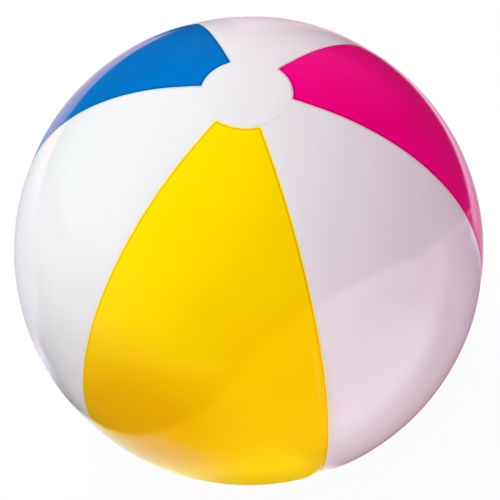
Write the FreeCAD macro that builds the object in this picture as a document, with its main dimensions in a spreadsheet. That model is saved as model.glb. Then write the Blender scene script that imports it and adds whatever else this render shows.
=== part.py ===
import FreeCAD, Part
import math
import os

import Sketcher

# Inflatable beach ball, blown up: six film gores with an end disc welded over each pole, and a push-in valve.
# Millimetres, +Z up through the poles, origin at the centre of the ball, yellow gore facing -Y.
# Every body is drawn about the ball's centre and is only turned into its place.

# Driving dimensions: alias, value, what it measures.
SIZES = [
    ("ball_radius", 200.0, "outer radius of the inflated gores"),
    ("film_thickness", 0.25, "thickness of the vinyl film"),
    ("seam_lap", 6.0, "width of the weld, where a white gore's edge lies under a coloured one"),
    ("lap_root", 1.5, "how far the lowered edge of a white gore starts inside its seam"),
    ("disc_radius", 34.0, "radius of an end disc, square to the poles' axis"),
    ("disc_weld_width", 10.0, "how far an end disc covers the ends of the gores"),
    ("contact_radius", 18.0, "radius of the flat patch that the ball's weight makes on the floor"),
    ("valve_hole_radius", 16.0, "radius of the hole in the gore that carries the valve"),
    ("flange_radius", 23.0, "outer radius of the valve's weld flange"),
    ("flange_bore_radius", 15.0, "inner radius of the flange, where the web starts"),
    ("flange_thickness", 0.8, "thickness of the weld flange"),
    ("web_recess", 0.8, "how deep the web's outer edge lies below the ball's surface"),
    ("web_height", 0.8, "height of the web's wall, along the valve's axis"),
    ("web_depth", 8.5, "drop of the web from the flange to the stem, with the valve pushed in"),
    ("stem_radius", 6.0, "outer radius of the stem"),
    ("stem_length", 14.0, "length of the stem, from its rim to its inner end"),
    ("rim_recess", 2.0, "how deep the stem's rim lies below the ball's surface, with the valve pushed in"),
    ("collar_radius", 8.0, "radius of the stem's collar, which the web ends on"),
    ("collar_thickness", 1.2, "thickness of the collar"),
    ("bore_radius", 3.2, "radius of the stem's bore, which a pump's nozzle fits"),
    ("mouth_radius", 4.0, "radius of the stem's tapered mouth at the rim"),
    ("mouth_depth", 4.0, "depth of the tapered mouth"),
    ("plug_clearance", 0.15, "clearance of the plug in the mouth and over the rim"),
    ("plug_head_radius", 6.5, "radius of the plug's head"),
    ("plug_head_thickness", 1.6, "thickness of the plug's head"),
    ("plug_arm_thickness", 1.0, "thickness of the plug's arm and of its finger tab"),
    ("finger_tab_reach", 10.0, "how far the finger tab reaches from the plug's axis"),
    ("finger_tab_width", 6.0, "width of the finger tab"),
    ("strap_reach", 8.1, "distance from the valve's axis to the inner face of the strap's upright"),
    ("strap_width", 4.0, "width of the strap and of the plug's arm"),
    ("strap_thickness", 0.7, "thickness of the strap"),
    ("strap_drop", 3.0, "how far below the rim the strap leaves the stem"),
    ("flap_radius", 4.6, "radius of the check flap"),
    ("flap_thickness", 0.5, "thickness of the check flap"),
    ("flap_clearance", 0.1, "gap between the closed check flap and the stem"),
    ("flap_hinge_reach", 5.2, "distance from the valve's axis to the check flap's hinge line"),
    ("flap_hinge_width", 3.0, "width of the check flap's hinge and of the lip beside it"),
    ("hinge_clearance", 0.1, "gap between the check flap's hinge edge and the lip"),
]

# The gores in their order round the ball, seen from above turning from -Y towards +X, each with its make.
COLOURED, WHITE, WHITE_WITH_VALVE = "coloured", "white", "white with valve"
GORES = [
    ("yellow_panel", COLOURED),
    ("white_panel_right", WHITE),
    ("pink_panel", COLOURED),
    ("white_panel_rear", WHITE_WITH_VALVE),
    ("blue_panel", COLOURED),
    ("white_panel_left", WHITE),
]
GORE_ANGLE = 360 / len(GORES)
FIRST_GORE_ANGLE = -90

# Turns a body drawn about +Z so that +Z points along +Y, its +Y up, and its +X along -X.
VALVE_TURN = FreeCAD.Rotation(FreeCAD.Vector(0, 1, 1), 180)


class Length:
    """A length as a number and as the expression that ties it to the sheet."""

    def __init__(self, number, text):
        self.number = number
        self.text = text

    def __add__(self, other):
        return Length(self.number + other.number, f"({self.text} + {other.text})")

    def __sub__(self, other):
        return Length(self.number - other.number, f"({self.text} - {other.text})")

    def __neg__(self):
        return Length(-self.number, f"(-1 * {self.text})")

    def times(self, factor):
        return Length(self.number * factor, f"({self.text} * {factor})")


def leg(hypotenuse, other_leg):
    """Returns the third side of a right triangle."""
    number = math.sqrt(hypotenuse.number ** 2 - other_leg.number ** 2)
    return Length(number, f"sqrt({hypotenuse.text} ^ 2 - {other_leg.text} ^ 2)")


ZERO = Length(0.0, "0")


def fill_sheet(doc):
    """Writes the driving dimensions to the document's sheet and returns them by alias."""
    sheet = doc.addObject("Spreadsheet::Sheet", "Size")
    for row, (alias, value, meaning) in enumerate(SIZES, start=1):
        sheet.set(f"A{row}", alias)
        sheet.set(f"B{row}", str(value))
        sheet.setAlias(f"B{row}", alias)
        sheet.set(f"C{row}", meaning)
    doc.recompute()
    return {alias: Length(value, f"Size.{alias}") for alias, value, meaning in SIZES}


def new_body(doc, label):
    body = doc.addObject("PartDesign::Body", label)
    body.Label = label
    return body


def new_sketch(body, plane_role):
    """Adds a sketch on one of the body's own planes, such as XZ_Plane."""
    plane = [feature for feature in body.Origin.OriginFeatures if feature.Role == plane_role][0]
    sketch = body.newObject("Sketcher::SketchObject", f"{body.Name}_sketch")
    sketch.AttachmentSupport = [(plane, "")]
    sketch.MapMode = "FlatFace"
    return sketch


def bind(sketch, kind, where, length):
    """Adds a dimension to the sketch and ties it to the sheet."""
    index = sketch.addConstraint(Sketcher.Constraint(kind, *where, length.number))
    if length is not ZERO:
        sketch.setExpression(f"Constraints[{index}]", length.text)


def pin_point(sketch, line, end, across, up):
    """Fixes one end of an edge at its distances from the sketch's origin."""
    bind(sketch, "DistanceX", (-1, 1, line, end), across)
    bind(sketch, "DistanceY", (-1, 1, line, end), up)


def draw_outline(sketch, corners):
    """Draws a closed outline of straight edges through the corners, each given as (across, up)."""
    first = sketch.GeometryCount
    points = [FreeCAD.Vector(across.number, up.number, 0) for across, up in corners]
    for start, end in zip(points, points[1:] + points[:1]):
        sketch.addGeometry(Part.LineSegment(start, end))
    last = sketch.GeometryCount - 1
    for line, (across, up) in enumerate(corners, start=first):
        previous = last if line == first else line - 1
        sketch.addConstraint(Sketcher.Constraint("Coincident", previous, 2, line, 1))
        pin_point(sketch, line, 1, across, up)


def rectangle(left, right, low, high):
    return [(left, low), (right, low), (right, high), (left, high)]


def draw_film(sketch, outer, inner, near, far, both_poles=False):
    """Draws film seen edge on: two arcs about the ball's centre and two edges parallel to the axis.

    Args:
        outer: radius of the film's outer face.
        inner: radius of its inner face.
        near: distance from the axis to the film's edge at the upper pole.
        far: distance from the axis to its other edge, past the upper pole or at the lower one.
        both_poles: whether the film runs on past the equator to the lower pole.
    """
    side = -1 if both_poles else 1
    arcs = []
    for radius in (outer, inner):
        start = side * math.acos(far.number / radius.number)
        end = math.acos(near.number / radius.number)
        circle = Part.Circle(FreeCAD.Vector(0, 0, 0), FreeCAD.Vector(0, 0, 1), radius.number)
        arc = sketch.addGeometry(Part.ArcOfCircle(circle, start, end))
        sketch.addConstraint(Sketcher.Constraint("Coincident", arc, 3, -1, 1))
        bind(sketch, "Radius", (arc,), radius)
        arcs.append(arc)
    for end, distance in ((1, far), (2, near)):
        points = [sketch.getPoint(arc, end) for arc in arcs]
        edge = sketch.addGeometry(Part.LineSegment(*points))
        for edge_end, arc in enumerate(arcs, start=1):
            sketch.addConstraint(Sketcher.Constraint("Coincident", edge, edge_end, arc, end))
            bind(sketch, "DistanceX", (-1, 1, arc, end), distance)


def revolve(body, sketch, angle=360.0):
    """Turns the sketch about the body's Z axis, to both sides of the sketch's plane."""
    feature = body.newObject("PartDesign::Revolution", f"{body.Name}_turn")
    feature.Profile = sketch
    feature.ReferenceAxis = (sketch, ["V_Axis"])
    feature.Angle = angle
    feature.Midplane = angle < 360
    return feature


def pad(body, sketch, width):
    """Thickens the sketch to both sides of its plane."""
    feature = body.newObject("PartDesign::Pad", f"{body.Name}_pad")
    feature.Profile = sketch
    feature.SideType = "Symmetric"
    feature.setExpression("Length", width.text)
    return feature


def cut_through(body, sketch):
    """Cuts the sketch out of the body, all the way through to both sides."""
    feature = body.newObject("PartDesign::Pocket", f"{body.Name}_cut")
    feature.Profile = sketch
    feature.Type = "ThroughAll"
    feature.SideType = "Symmetric"
    return feature


def draw_circle(sketch, radius):
    circle = Part.Circle(FreeCAD.Vector(0, 0, 0), FreeCAD.Vector(0, 0, 1), radius.number)
    geometry = sketch.addGeometry(circle)
    sketch.addConstraint(Sketcher.Constraint("Coincident", geometry, 3, -1, 1))
    bind(sketch, "Radius", (geometry,), radius)


def cylinder(body, kind, radius, length, start):
    """Adds or cuts a cylinder on the body's Z axis, from start upwards; kind is Additive or Subtractive."""
    plane = [feature for feature in body.Origin.OriginFeatures if feature.Role == "XY_Plane"][0]
    feature = body.newObject(f"PartDesign::{kind}Cylinder", f"{body.Name}_cylinder")
    feature.AttachmentSupport = [(plane, "")]
    feature.MapMode = "FlatFace"
    feature.setExpression("Radius", radius.text)
    feature.setExpression("Height", length.text)
    feature.setExpression(".AttachmentOffset.Base.z", start.text)
    return feature


def seam_strips(body, size):
    """Gives a white gore its two lowered edges, of one width from end to end, which the coloured gores cover."""
    upper = size["ball_radius"] - size["film_thickness"]
    lower = upper - size["film_thickness"]
    end = size["disc_radius"] - size["disc_weld_width"]
    sketch = new_sketch(body, "XZ_Plane")
    draw_film(sketch, upper, lower, end, end, both_poles=True)
    revolve(body, sketch, 2 * GORE_ANGLE)

    seam = math.radians(GORE_ANGLE / 2)
    reach = size["ball_radius"].times(2)
    run, rise = reach.times(math.cos(seam)), reach.times(math.sin(seam))
    middle = size["lap_root"].times(1 / math.sin(seam))
    outside = -size["seam_lap"].times(1 / math.sin(seam))
    sketch = new_sketch(body, "XY_Plane")
    draw_outline(sketch, [(middle, ZERO), (middle + run, rise), (middle + run, -rise)])
    draw_outline(sketch, [(outside, ZERO), (outside + run, rise), (outside + run, reach), (outside, reach)])
    draw_outline(sketch, [(outside, ZERO), (outside + run, -rise), (outside + run, -reach), (outside, -reach)])
    cut_through(body, sketch)


def make_gore(doc, size, label, index, make):
    body = new_body(doc, label)
    if make != COLOURED:
        seam_strips(body, size)
    end = size["disc_radius"] - size["disc_weld_width"]
    sketch = new_sketch(body, "XZ_Plane")
    draw_film(sketch, size["ball_radius"], size["ball_radius"] - size["film_thickness"], end, end, both_poles=True)
    revolve(body, sketch, GORE_ANGLE)
    if make == WHITE_WITH_VALVE:
        sketch = new_sketch(body, "YZ_Plane")
        draw_circle(sketch, size["valve_hole_radius"])
        cut_through(body, sketch)
    turn = FIRST_GORE_ANGLE + index * GORE_ANGLE
    body.Placement = FreeCAD.Placement(FreeCAD.Vector(0, 0, 0), FreeCAD.Rotation(FreeCAD.Vector(0, 0, 1), turn))
    return body


def make_top_disc(doc, size):
    body = new_body(doc, "top_disc")
    sketch = new_sketch(body, "XZ_Plane")
    draw_film(sketch, size["ball_radius"] + size["film_thickness"], size["ball_radius"], ZERO, size["disc_radius"])
    revolve(body, sketch)
    return body


def make_bottom_disc(doc, size):
    """The lower disc, drawn pole up and turned over, pressed flat in its middle by the ball's weight."""
    body = new_body(doc, "bottom_disc")
    outer = size["ball_radius"] + size["film_thickness"]
    sketch = new_sketch(body, "XZ_Plane")
    draw_film(sketch, outer, size["ball_radius"], size["contact_radius"], size["disc_radius"])
    revolve(body, sketch)
    under = leg(size["ball_radius"], size["contact_radius"])
    over = leg(outer, size["contact_radius"])
    cylinder(body, "Additive", size["contact_radius"], over - under, under)
    body.Placement = FreeCAD.Placement(FreeCAD.Vector(0, 0, 0), FreeCAD.Rotation(FreeCAD.Vector(1, 0, 0), 180))
    return body


def make_valve_flange(doc, size):
    body = new_body(doc, "valve_flange")
    face = size["ball_radius"] - size["film_thickness"]
    sketch = new_sketch(body, "XZ_Plane")
    draw_film(sketch, face, face - size["flange_thickness"], size["flange_bore_radius"], size["flange_radius"])
    revolve(body, sketch)
    return body


def make_valve_web(doc, size):
    body = new_body(doc, "valve_web")
    top = size["ball_radius"] - size["web_recess"]
    bottom = top - size["web_depth"]
    sketch = new_sketch(body, "XZ_Plane")
    draw_outline(sketch, [
        (size["flange_bore_radius"], top),
        (size["flange_bore_radius"], top - size["web_height"]),
        (size["collar_radius"], bottom - size["web_height"]),
        (size["collar_radius"], bottom),
    ])
    revolve(body, sketch)
    return body


def make_valve_stem(doc, size):
    """The tube, with the collar that the web ends on and the lip that the check flap hangs from."""
    body = new_body(doc, "valve_stem")
    rim = size["ball_radius"] - size["rim_recess"]
    inner_end = rim - size["stem_length"]
    web_middle = size["ball_radius"] - size["web_recess"] - size["web_depth"] - size["web_height"].times(0.5)
    collar_top = web_middle + size["collar_thickness"].times(0.5)
    collar_bottom = web_middle - size["collar_thickness"].times(0.5)
    sketch = new_sketch(body, "XZ_Plane")
    draw_outline(sketch, [
        (size["bore_radius"], inner_end),
        (size["stem_radius"], inner_end),
        (size["stem_radius"], collar_bottom),
        (size["collar_radius"], collar_bottom),
        (size["collar_radius"], collar_top),
        (size["stem_radius"], collar_top),
        (size["stem_radius"], rim),
        (size["mouth_radius"], rim),
        (size["bore_radius"], rim - size["mouth_depth"]),
    ])
    revolve(body, sketch)
    hinge_edge = size["flap_hinge_reach"] + size["flap_thickness"].times(0.5)
    lip_bottom = inner_end - size["flap_clearance"] - size["flap_thickness"]
    sketch = new_sketch(body, "YZ_Plane")
    draw_outline(sketch, rectangle(hinge_edge + size["hinge_clearance"], size["stem_radius"], lip_bottom, inner_end))
    pad(body, sketch, size["flap_hinge_width"])
    return body


def make_check_flap(doc, size):
    body = new_body(doc, "check_flap")
    top = size["ball_radius"] - size["rim_recess"] - size["stem_length"] - size["flap_clearance"]
    bottom = top - size["flap_thickness"]
    cylinder(body, "Additive", size["flap_radius"], size["flap_thickness"], bottom)
    sketch = new_sketch(body, "YZ_Plane")
    draw_outline(sketch, rectangle(ZERO, size["flap_hinge_reach"], bottom, top))
    pad(body, sketch, size["flap_hinge_width"])
    return body


def make_plug(doc, size):
    """The stopper: tapered shank, round head, the arm that the strap holds, and a finger tab below."""
    body = new_body(doc, "plug")
    rim = size["ball_radius"] - size["rim_recess"]
    under = rim + size["plug_clearance"]
    head_top = under + size["plug_head_thickness"]
    sketch = new_sketch(body, "XZ_Plane")
    draw_outline(sketch, [
        (ZERO, under - size["mouth_depth"]),
        (size["bore_radius"] - size["plug_clearance"], under - size["mouth_depth"]),
        (size["mouth_radius"] - size["plug_clearance"], under),
        (size["plug_head_radius"], under),
        (size["plug_head_radius"], head_top),
        (ZERO, head_top),
    ])
    revolve(body, sketch)
    arm_top = under + size["plug_arm_thickness"]
    sketch = new_sketch(body, "YZ_Plane")
    draw_outline(sketch, rectangle(ZERO, size["strap_reach"], under, arm_top))
    pad(body, sketch, size["strap_width"])
    sketch = new_sketch(body, "YZ_Plane")
    draw_outline(sketch, rectangle(-size["finger_tab_reach"], ZERO, under, arm_top))
    pad(body, sketch, size["finger_tab_width"])
    return body


def make_plug_strap(doc, size):
    """An angle of film: a leg out from the stem's wall, and an upright that the plug's arm ends on."""
    body = new_body(doc, "plug_strap")
    rim = size["ball_radius"] - size["rim_recess"]
    leg_top = rim - size["strap_drop"]
    leg_bottom = leg_top - size["strap_thickness"]
    upright_top = rim + size["plug_clearance"] + size["plug_arm_thickness"]
    inside, outside = size["strap_reach"], size["strap_reach"] + size["strap_thickness"]
    sketch = new_sketch(body, "YZ_Plane")
    draw_outline(sketch, [
        (ZERO, leg_bottom),
        (outside, leg_bottom),
        (outside, upright_top),
        (inside, upright_top),
        (inside, leg_top),
        (ZERO, leg_top),
    ])
    pad(body, sketch, size["strap_width"])
    sketch = new_sketch(body, "XY_Plane")
    draw_circle(sketch, size["stem_radius"])
    cut_through(body, sketch)
    return body


def build_ball(doc):
    """Builds every sub-part and returns them."""
    size = fill_sheet(doc)
    bodies = [make_gore(doc, size, label, index, make) for index, (label, make) in enumerate(GORES)]
    bodies += [make_top_disc(doc, size), make_bottom_disc(doc, size)]
    valve_makers = (make_valve_flange, make_valve_web, make_valve_stem, make_check_flap, make_plug, make_plug_strap)
    for make_valve_part in valve_makers:
        body = make_valve_part(doc, size)
        body.Placement = FreeCAD.Placement(FreeCAD.Vector(0, 0, 0), VALVE_TURN)
        bodies.append(body)
    return bodies


def check_document(doc, bodies):
    """Stops the build if any object failed to recompute or any sub-part isn't one valid solid."""
    for item in doc.Objects:
        if "Invalid" in item.State or "Error" in item.State:
            raise RuntimeError(f"{item.Label} failed: {item.State}")
    for body in bodies:
        if body.Shape.isNull() or not body.Shape.isValid() or len(body.Shape.Solids) != 1:
            raise RuntimeError(f"{body.Label} isn't one valid solid")


def main():
    doc = FreeCAD.newDocument("beach_ball")
    bodies = build_ball(doc)
    doc.recompute()
    check_document(doc, bodies)
    os.makedirs("parts", exist_ok=True)
    for body in bodies:
        body.Shape.exportStep(os.path.join("parts", f"{body.Label}.step"))
        print(f"{body.Label}: {body.Shape.Volume:.1f} mm3")


main()
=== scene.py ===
"""Visual model of an inflatable beach ball: six welded film gores, two end discs and a push-in valve.

Metres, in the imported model's own frame: +Z up through the poles, the yellow gore facing -Y, the valve on +Y.
"""

import logging
import math
from contextlib import contextmanager
from dataclasses import dataclass
from enum import Enum
from typing import Callable, Iterator, NamedTuple, Sequence

import bmesh
import bpy
from mathutils import Matrix, Vector

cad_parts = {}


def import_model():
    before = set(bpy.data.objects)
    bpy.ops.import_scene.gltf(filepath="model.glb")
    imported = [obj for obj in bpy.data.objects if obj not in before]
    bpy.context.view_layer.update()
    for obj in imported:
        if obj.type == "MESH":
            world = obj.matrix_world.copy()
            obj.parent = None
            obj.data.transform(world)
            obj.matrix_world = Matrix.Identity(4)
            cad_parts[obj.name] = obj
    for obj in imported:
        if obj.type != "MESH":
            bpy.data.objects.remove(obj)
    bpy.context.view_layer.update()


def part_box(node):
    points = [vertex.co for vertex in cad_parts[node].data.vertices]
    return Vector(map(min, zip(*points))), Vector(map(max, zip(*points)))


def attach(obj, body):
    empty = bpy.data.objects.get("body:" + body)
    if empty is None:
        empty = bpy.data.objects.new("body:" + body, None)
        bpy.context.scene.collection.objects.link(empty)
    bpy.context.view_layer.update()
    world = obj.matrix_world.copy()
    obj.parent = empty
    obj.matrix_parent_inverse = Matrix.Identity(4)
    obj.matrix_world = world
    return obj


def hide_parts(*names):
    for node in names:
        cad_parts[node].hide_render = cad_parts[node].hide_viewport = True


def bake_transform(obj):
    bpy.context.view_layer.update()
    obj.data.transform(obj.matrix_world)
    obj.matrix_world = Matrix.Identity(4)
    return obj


Object = bpy.types.Object
Material = bpy.types.Material
Node = bpy.types.Node
Socket = bpy.types.NodeSocket
Pair = tuple[float, float]
Place = tuple[float, float, float]
Colour = tuple[float, float, float]

LOG = logging.getLogger("beach_ball")
SEAM = "seam_distance"
UP = Vector((0.0, 0.0, 1.0))
ORIGIN = Vector((0.0, 0.0, 0.0))
WHITE_LIGHT = (1.0, 1.0, 1.0, 1.0)


class Element(Enum):
    """What an edit-mode selection is made of."""

    VERTS = "VERT"
    EDGES = "EDGE"
    FACES = "FACE"


class Make(Enum):
    """The three makes of gore."""

    COLOURED = "coloured"
    WHITE = "white"
    WHITE_WITH_VALVE = "white with valve"


def linear(red: int, green: int, blue: int) -> Colour:
    """Turns a screen colour, 0 to 255 in each channel, into the linear amounts that a shader takes."""
    shares = [channel / 255 for channel in (red, green, blue)]
    return tuple(s / 12.92 if s <= 0.04045 else ((s + 0.055) / 1.055) ** 2.4 for s in shares)


def smooth_step(value: float, start: float, end: float) -> float:
    """Rises smoothly from 0, for a value at start, to 1 at end."""
    share = min(1.0, max(0.0, (value - start) / (end - start)))
    return share * share * (3 - 2 * share)


def swell(distance: float, rise: Pair, fade: float) -> float:
    """Rises smoothly from 0 to 1 over a span, and past it dies away over the length of the fade."""
    return smooth_step(distance, *rise) * math.exp(-max(0.0, distance - rise[1]) / fade)


def grooves(distance: float, lines: Sequence[Pair]) -> float:
    """Adds up soft grooves at a distance, each of them given by where it lies and how wide it is."""
    return sum(math.exp(-(((distance - at) / width) ** 2)) for at, width in lines)


# ---------------------------------------------------------------- modelling by hand


@contextmanager
def editing(obj: Object) -> Iterator[None]:
    """Opens one object alone in edit mode and closes it again.

    Args:
        obj: the object to edit.
    """
    make_active(obj)
    bpy.ops.object.mode_set(mode="EDIT")
    try:
        yield
    finally:
        bpy.ops.object.mode_set(mode="OBJECT")


def make_nothing_selected() -> None:
    """Deselects every object, so that a new primitive stands alone."""
    bpy.ops.object.select_all(action="DESELECT")


def make_active(*objects: Object) -> None:
    """Selects these objects alone and makes the first one active.

    Args:
        objects: the objects to select.
    """
    make_nothing_selected()
    for obj in objects:
        obj.select_set(True)
    bpy.context.view_layer.objects.active = objects[0]


def pick(obj: Object, element: Element, test: Callable[[Vector, Vector], bool]) -> None:
    """Selects what passes the test, and nothing else, on the object in edit mode.

    Args:
        obj: the object that is in edit mode.
        element: whether to look at vertices, edges or faces.
        test: takes a place, and a normal or, for an edge, its span from end to end.
    """
    bpy.ops.mesh.select_mode(type=element.value)
    bpy.ops.mesh.select_all(action="DESELECT")
    mesh = bmesh.from_edit_mesh(obj.data)
    if element is Element.VERTS:
        found = [v for v in mesh.verts if test(v.co, v.normal)]
    elif element is Element.EDGES:
        ends = [(e, *(v.co for v in e.verts)) for e in mesh.edges]
        found = [e for e, first, last in ends if test((first + last) / 2, last - first)]
    else:
        found = [f for f in mesh.faces if test(f.calc_center_median(), f.normal)]
    for item in found:
        item.select_set(True)
    mesh.select_flush_mode()
    bmesh.update_edit_mesh(obj.data)


def settle(obj: Object) -> None:
    """Puts the object's place, turn and scale into its mesh."""
    make_active(obj)
    bpy.ops.object.transform_apply(location=True, rotation=True, scale=True)


def apply_modifier(obj: Object, kind: str, **settings: object) -> None:
    """Adds a modifier and applies it.

    Args:
        obj: the object to change.
        kind: Blender's name for the kind of modifier.
        settings: the modifier's settings by name.
    """
    make_active(obj)
    modifier = obj.modifiers.new(kind.lower(), kind)
    for name, value in settings.items():
        setattr(modifier, name, value)
    bpy.ops.object.modifier_apply(modifier=modifier.name)


def lay_on_sphere(obj: Object, radius: float) -> None:
    """Moves every vertex straight out or in, onto a sphere about the ball's centre."""
    settings = {"factor": 1.0, "radius": 0.0, "size": radius, "use_radius_as_size": False}
    apply_modifier(obj, "CAST", cast_type="SPHERE", **settings)


def thicken(obj: Object, thickness: float) -> None:
    """Gives a sheet its thickness, inwards from the face it has, which points outwards."""
    apply_modifier(obj, "SOLIDIFY", thickness=thickness, offset=-1.0, use_even_offset=True, use_rim=True)


def weigh(obj: Object, name: str, rule: Callable[[Vector], float]) -> str:
    """Makes a vertex group whose weights follow a rule of place.

    Args:
        obj: the object to weigh.
        name: the group's name.
        rule: takes a vertex's place and returns its weight, 0 to 1.

    Returns:
        The group's name.
    """
    group = obj.vertex_groups.new(name=name)
    for vertex in obj.data.vertices:
        weight = rule(vertex.co)
        if weight > 0.001:
            group.add([vertex.index], weight, "REPLACE")
    return name


def sink(obj: Object, name: str, depth: float, rule: Callable[[Vector], float]) -> None:
    """Presses the surface in by a depth, of which a rule of place gives each vertex its share."""
    group = weigh(obj, name, rule)
    apply_modifier(obj, "DISPLACE", vertex_group=group, strength=-depth, mid_level=0.0)


def mark(obj: Object, name: str, rule: Callable[[Vector], float]) -> None:
    """Gives every vertex a number that follows a rule of place, for a material to read.

    Args:
        obj: the object to mark.
        name: the attribute's name.
        rule: takes a vertex's place and returns its number.
    """
    layer = obj.data.attributes.new(name, "FLOAT", "POINT")
    for vertex, value in zip(obj.data.vertices, layer.data):
        value.value = rule(vertex.co)


def map_surface(obj: Object, name: str, rule: Callable[[Vector], Pair]) -> str:
    """Makes a UV map that follows a rule of place.

    Args:
        obj: the object to map.
        name: the map's name.
        rule: takes a vertex's place and returns its two coordinates.

    Returns:
        The map's name.
    """
    layer = obj.data.uv_layers.new(name=name)
    places = [rule(vertex.co) for vertex in obj.data.vertices]
    for loop in obj.data.loops:
        layer.data[loop.index].uv = places[loop.vertex_index]
    return name


def smooth(obj: Object, angle: float = 40.0) -> None:
    """Shades the object smooth, apart from edges sharper than the angle in degrees."""
    make_active(obj)
    bpy.ops.object.shade_smooth_by_angle(angle=math.radians(angle))


def face_outwards(obj: Object) -> None:
    """Merges doubled vertices of a closed shell and turns all its faces outwards.

    Args:
        obj: the object to mend.
    """
    with editing(obj):
        bpy.ops.mesh.select_mode(type="VERT")
        bpy.ops.mesh.select_all(action="SELECT")
        bpy.ops.mesh.remove_doubles(threshold=1e-6)
        bpy.ops.mesh.normals_make_consistent(inside=False)


def new_primitive(name: str, kind: str, scale: Place = (1.0, 1.0, 1.0), **settings: object) -> Object:
    """Starts an object from one of Blender's primitives.

    Args:
        name: the object's name.
        kind: Blender's name for the primitive.
        scale: what it is scaled by along X, Y and Z.
        settings: the primitive's own settings by name.

    Returns:
        The new object, settled.
    """
    make_nothing_selected()
    getattr(bpy.ops.mesh, f"primitive_{kind}_add")(**settings)
    obj = bpy.context.object
    obj.name = obj.data.name = name
    obj.scale = scale
    settle(obj)
    return obj


def new_vertex(name: str, place: Vector) -> Object:
    """Starts an object from a single vertex, for spinning into a profile.

    Args:
        name: the object's name.
        place: where the vertex is.

    Returns:
        The new object.
    """
    obj = new_primitive(name, "plane", size=0.001, location=place)
    with editing(obj):
        bpy.ops.mesh.select_all(action="SELECT")
        bpy.ops.mesh.merge(type="CENTER")
    return obj


def new_ring(name: str, radius: float, height: float, corners: int, fill: str = "NOTHING") -> Object:
    """Starts an object from a ring of vertices about the Z axis, filled as Blender's name for it says."""
    settings = {"vertices": corners, "radius": radius, "fill_type": fill}
    return new_primitive(name, "circle", location=(0, 0, height), **settings)


def new_block(name: str, size: Place, middle: Place) -> Object:
    """Starts an object from a box, given by its size along X, Y and Z and its middle."""
    return new_primitive(name, "cube", scale=size, size=1, location=middle)


def lathe(name: str, profile: Sequence[Pair], corners: int, closed: bool = True) -> Object:
    """Draws a ring out into a turned shape about the Z axis, by extruding and scaling it from step to step.

    Args:
        name: the object's name.
        profile: radius and height of each step; a radius of 0 at either end closes that end.
        corners: how many sides the shape has.
        closed: whether the last step is joined back to the first, as a tube's wall is.

    Returns:
        The new object, with its faces outwards.
    """
    rings = [(radius, height) for radius, height in profile if radius > 0]
    obj = new_ring(name, *rings[0], corners)
    with editing(obj):
        bpy.ops.mesh.select_mode(type="VERT")
        bpy.ops.mesh.select_all(action="SELECT")
        for (last_radius, last_height), (radius, height) in zip(rings, rings[1:]):
            bpy.ops.mesh.extrude_region_move(TRANSFORM_OT_translate={"value": (0, 0, height - last_height)})
            scale = radius / last_radius
            bpy.ops.transform.resize(value=(scale, scale, 1), center_override=(0, 0, height))
        for end in (0, -1):
            if profile[end][0] == 0:
                pick(obj, Element.EDGES, lambda co, span: on_ring(co, span, rings[end], corners))
                bpy.ops.mesh.fill(use_beauty=False)
        if closed:
            ends = (rings[0], rings[-1])
            pick(obj, Element.EDGES, lambda co, span: any(on_ring(co, span, ring, corners) for ring in ends))
            bpy.ops.mesh.bridge_edge_loops()
    face_outwards(obj)
    return obj


def on_ring(middle: Vector, span: Vector, ring: Pair, corners: int) -> bool:
    """Tells whether an edge belongs to one ring of a turned shape.

    Args:
        middle: the edge's middle.
        span: the edge's span from end to end.
        ring: the ring's radius and height.
        corners: how many edges the ring has.

    Returns:
        True for an edge of the ring.
    """
    reach = ring[0] * math.cos(math.pi / corners)
    flat = abs(span.z) < 1e-7 and abs(middle.z - ring[1]) < 1e-6
    return flat and abs(math.hypot(middle.x, middle.y) - reach) < 1e-6


# ---------------------------------------------------------------- finishes


class Bench:
    """Adds and links the nodes of one material or node group."""

    def __init__(self, tree: bpy.types.NodeTree) -> None:
        """Starts on a tree and clears it."""
        self.tree = tree
        tree.nodes.clear()

    def add(self, kind: str, inputs: dict[str, object] | None = None, **settings: object) -> Node:
        """Adds a node, sets it and feeds its inputs.

        Args:
            kind: the node's type.
            inputs: sockets or plain values, by input name or number.
            settings: the node's own settings by name.

        Returns:
            The new node.
        """
        node = self.tree.nodes.new(kind)
        for name, value in settings.items():
            setattr(node, name, value)
        for name, value in (inputs or {}).items():
            if isinstance(value, bpy.types.NodeSocket):
                self.tree.links.new(value, node.inputs[name])
            else:
                node.inputs[name].default_value = value
        return node

    def maths(self, operation: str, *values: object) -> Socket:
        """Adds a Math node on sockets or numbers and returns its output."""
        return self.add("ShaderNodeMath", dict(enumerate(values)), operation=operation).outputs[0]

    def remap(self, value: Socket, low: float, high: float, start: float = 0.0, end: float = 1.0) -> Socket:
        """Adds a smooth Map Range node, from start at low to end at high, and returns its output."""
        inputs = {"Value": value, "From Min": low, "From Max": high, "To Min": start, "To Max": end}
        return self.add("ShaderNodeMapRange", inputs, interpolation_type="SMOOTHSTEP").outputs[0]

    def mix(self, share: object, first: object, second: object, blend: str = "MIX") -> Socket:
        """Adds a Mix node for colours, with a share of the second one, and returns its output."""
        node = self.add("ShaderNodeMix", {0: share, 6: first, 7: second}, data_type="RGBA", blend_type=blend)
        return node.outputs[2]

    def vector_maths(self, operation: str, *values: object) -> Socket:
        """Adds a Vector Math node on sockets or vectors and returns the number that it puts out."""
        node = self.add("ShaderNodeVectorMath", dict(enumerate(values)), operation=operation)
        return node.outputs["Value"]

    def noise(self, place: Socket, scale: object, detail: float = 2.0, roughness: float = 0.5) -> Socket:
        """Adds a Noise node that is read at a place and returns its value."""
        inputs = {"Vector": place, "Scale": scale, "Detail": detail, "Roughness": roughness}
        return self.add("ShaderNodeTexNoise", inputs).outputs[0]

    def emission(self, colour: object) -> Socket:
        """Adds an Emission node of strength 1 and returns its shader."""
        return self.add("ShaderNodeEmission", {"Color": colour, "Strength": 1.0}).outputs[0]


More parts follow.
